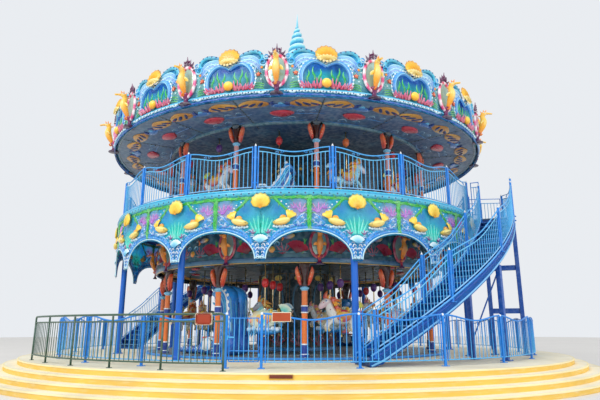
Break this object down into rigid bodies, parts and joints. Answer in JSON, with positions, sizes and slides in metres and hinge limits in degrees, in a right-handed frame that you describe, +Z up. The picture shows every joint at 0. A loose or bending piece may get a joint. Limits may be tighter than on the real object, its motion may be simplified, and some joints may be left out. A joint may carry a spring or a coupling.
{
  "type": "two-deck fairground carousel",
  "caption": "Two-deck undersea carousel on a stepped round plinth: turning decks with rising mounts, arched gallery ring, curved stairs, ornate canopy and spiral spire.",
  "frame": {"origin": "on the carousel's axis at the underside of the plinth", "axes": "+Z up along the axis; the front, where the entrance gate is, faces -Y"},
  "size_m": [18.62, 18.62, 13.46],
  "materials": {
    "plinth_masonry": "painted masonry, yellow risers and cream treads, matte",
    "blue_steel": "bright blue gloss paint",
    "deep_blue_steel": "deep blue gloss paint",
    "green_steel": "dark grey-green gloss paint",
    "orange_steel": "orange paint with white and blue rings",
    "deck_steel": "worn deck paint",
    "aqua_fibreglass": "painted fibreglass relief, glossy",
    "teal_panels": "dark teal painted panels",
    "ceiling_panels": "pale grey-blue painted ceiling panels",
    "roof_sheet": "pale blue roof sheet",
    "pale_fibreglass": "pale turquoise painted fibreglass",
    "blue_fibreglass": "blue and white painted fibreglass waves",
    "mount_fibreglass": "painted fibreglass, mostly white"
  },
  "bodies": {
    "base": {"plinth": "plinth_masonry", "centre_bearing": "deck_steel", "queue_rail": "green_steel", "fence_1": "blue_steel", "fence_2": "blue_steel", "fence_3": "blue_steel", "fence_4": "blue_steel", "gallery_frame": "deep_blue_steel", "rounding_board_1": "aqua_fibreglass", "rounding_board_2": "aqua_fibreglass", "rounding_board_3": "aqua_fibreglass", "rounding_board_4": "aqua_fibreglass", "gallery_rail_1": "blue_steel", "gallery_rail_2": "blue_steel", "gallery_rail_3": "blue_steel", "right_stair_flight": "blue_steel", "right_stair_outer_rail": "blue_steel", "right_stair_inner_rail": "blue_steel", "right_stair_landing": "blue_steel", "right_stair_landing_rail": "blue_steel", "right_stair_trestle": "deep_blue_steel", "back_stair_flight": "blue_steel", "back_stair_outer_rail": "blue_steel", "back_stair_inner_rail": "blue_steel", "back_stair_landing": "blue_steel", "back_stair_landing_rail": "blue_steel", "back_stair_trestle": "deep_blue_steel"},
    "gate": {"entrance_gate": "blue_steel"},
    "lower_turntable": {"lower_platform": "deck_steel", "lower_core": "teal_panels", "lower_columns": "orange_steel", "lower_ceiling": "teal_panels", "lower_chariot_1": "blue_fibreglass", "lower_chariot_2": "blue_fibreglass"},
    "upper_turntable": {"upper_tower": "deck_steel", "inner_board": "teal_panels", "upper_floor": "deck_steel", "upper_columns": "orange_steel", "upper_core": "teal_panels", "canopy_ceiling": "ceiling_panels", "canopy_board": "aqua_fibreglass", "canopy_roof": "roof_sheet", "spire": "pale_fibreglass", "upper_chariot_1": "blue_fibreglass", "upper_chariot_2": "blue_fibreglass"},
    "lower_set_1": {"lower_gallopers_1": "mount_fibreglass"},
    "lower_set_2": {"lower_gallopers_2": "mount_fibreglass"},
    "lower_set_3": {"lower_gallopers_3": "mount_fibreglass"},
    "lower_set_4": {"lower_gallopers_4": "mount_fibreglass"},
    "lower_set_5": {"lower_gallopers_5": "mount_fibreglass"},
    "lower_set_6": {"lower_gallopers_6": "mount_fibreglass"},
    "upper_set_1": {"upper_gallopers_1": "mount_fibreglass"},
    "upper_set_2": {"upper_gallopers_2": "mount_fibreglass"},
    "upper_set_3": {"upper_gallopers_3": "mount_fibreglass"},
    "upper_set_4": {"upper_gallopers_4": "mount_fibreglass"}
  },
  "joints": [
    {"name": "lower_turn", "type": "hinge", "parent": "base", "child": "lower_turntable", "pos_m": [0, 0, 0.53], "axis": [0, 0, 1], "continuous": true},
    {"name": "upper_turn", "type": "hinge", "parent": "base", "child": "upper_turntable", "pos_m": [0, 0, 0.53], "axis": [0, 0, 1], "continuous": true},
    {"name": "gate_hinge", "type": "hinge", "parent": "base", "child": "gate", "pos_m": [-0.75674, -7.35896, 1.06], "axis": [0, 0, 1], "range_deg": [0, 90]},
    {"name": "lower_gallop_1", "type": "slide", "parent": "lower_turntable", "child": "lower_set_1", "axis": [0, 0, 1], "range_m": [-0.15, 0.15]},
    {"name": "lower_gallop_2", "type": "slide", "parent": "lower_turntable", "child": "lower_set_2", "axis": [0, 0, 1], "range_m": [-0.15, 0.15]},
    {"name": "lower_gallop_3", "type": "slide", "parent": "lower_turntable", "child": "lower_set_3", "axis": [0, 0, 1], "range_m": [-0.15, 0.15]},
    {"name": "lower_gallop_4", "type": "slide", "parent": "lower_turntable", "child": "lower_set_4", "axis": [0, 0, 1], "range_m": [-0.15, 0.15]},
    {"name": "lower_gallop_5", "type": "slide", "parent": "lower_turntable", "child": "lower_set_5", "axis": [0, 0, 1], "range_m": [-0.15, 0.15]},
    {"name": "lower_gallop_6", "type": "slide", "parent": "lower_turntable", "child": "lower_set_6", "axis": [0, 0, 1], "range_m": [-0.15, 0.15]},
    {"name": "upper_gallop_1", "type": "slide", "parent": "upper_turntable", "child": "upper_set_1", "axis": [0, 0, 1], "range_m": [-0.15, 0.15]},
    {"name": "upper_gallop_2", "type": "slide", "parent": "upper_turntable", "child": "upper_set_2", "axis": [0, 0, 1], "range_m": [-0.15, 0.15]},
    {"name": "upper_gallop_3", "type": "slide", "parent": "upper_turntable", "child": "upper_set_3", "axis": [0, 0, 1], "range_m": [-0.15, 0.15]},
    {"name": "upper_gallop_4", "type": "slide", "parent": "upper_turntable", "child": "upper_set_4", "axis": [0, 0, 1], "range_m": [-0.15, 0.15]}
  ],
  "couplings": [
    {"joint": "lower_gallop_2", "follows": "lower_gallop_1", "ratio": -1},
    {"joint": "lower_gallop_3", "follows": "lower_gallop_1", "ratio": 1},
    {"joint": "lower_gallop_4", "follows": "lower_gallop_1", "ratio": -1},
    {"joint": "lower_gallop_5", "follows": "lower_gallop_1", "ratio": 1},
    {"joint": "lower_gallop_6", "follows": "lower_gallop_1", "ratio": -1},
    {"joint": "upper_gallop_2", "follows": "upper_gallop_1", "ratio": -1},
    {"joint": "upper_gallop_3", "follows": "upper_gallop_1", "ratio": 1},
    {"joint": "upper_gallop_4", "follows": "upper_gallop_1", "ratio": -1},
    {"joint": "lower_turn", "follows": "upper_turn", "ratio": -1}
  ]
}
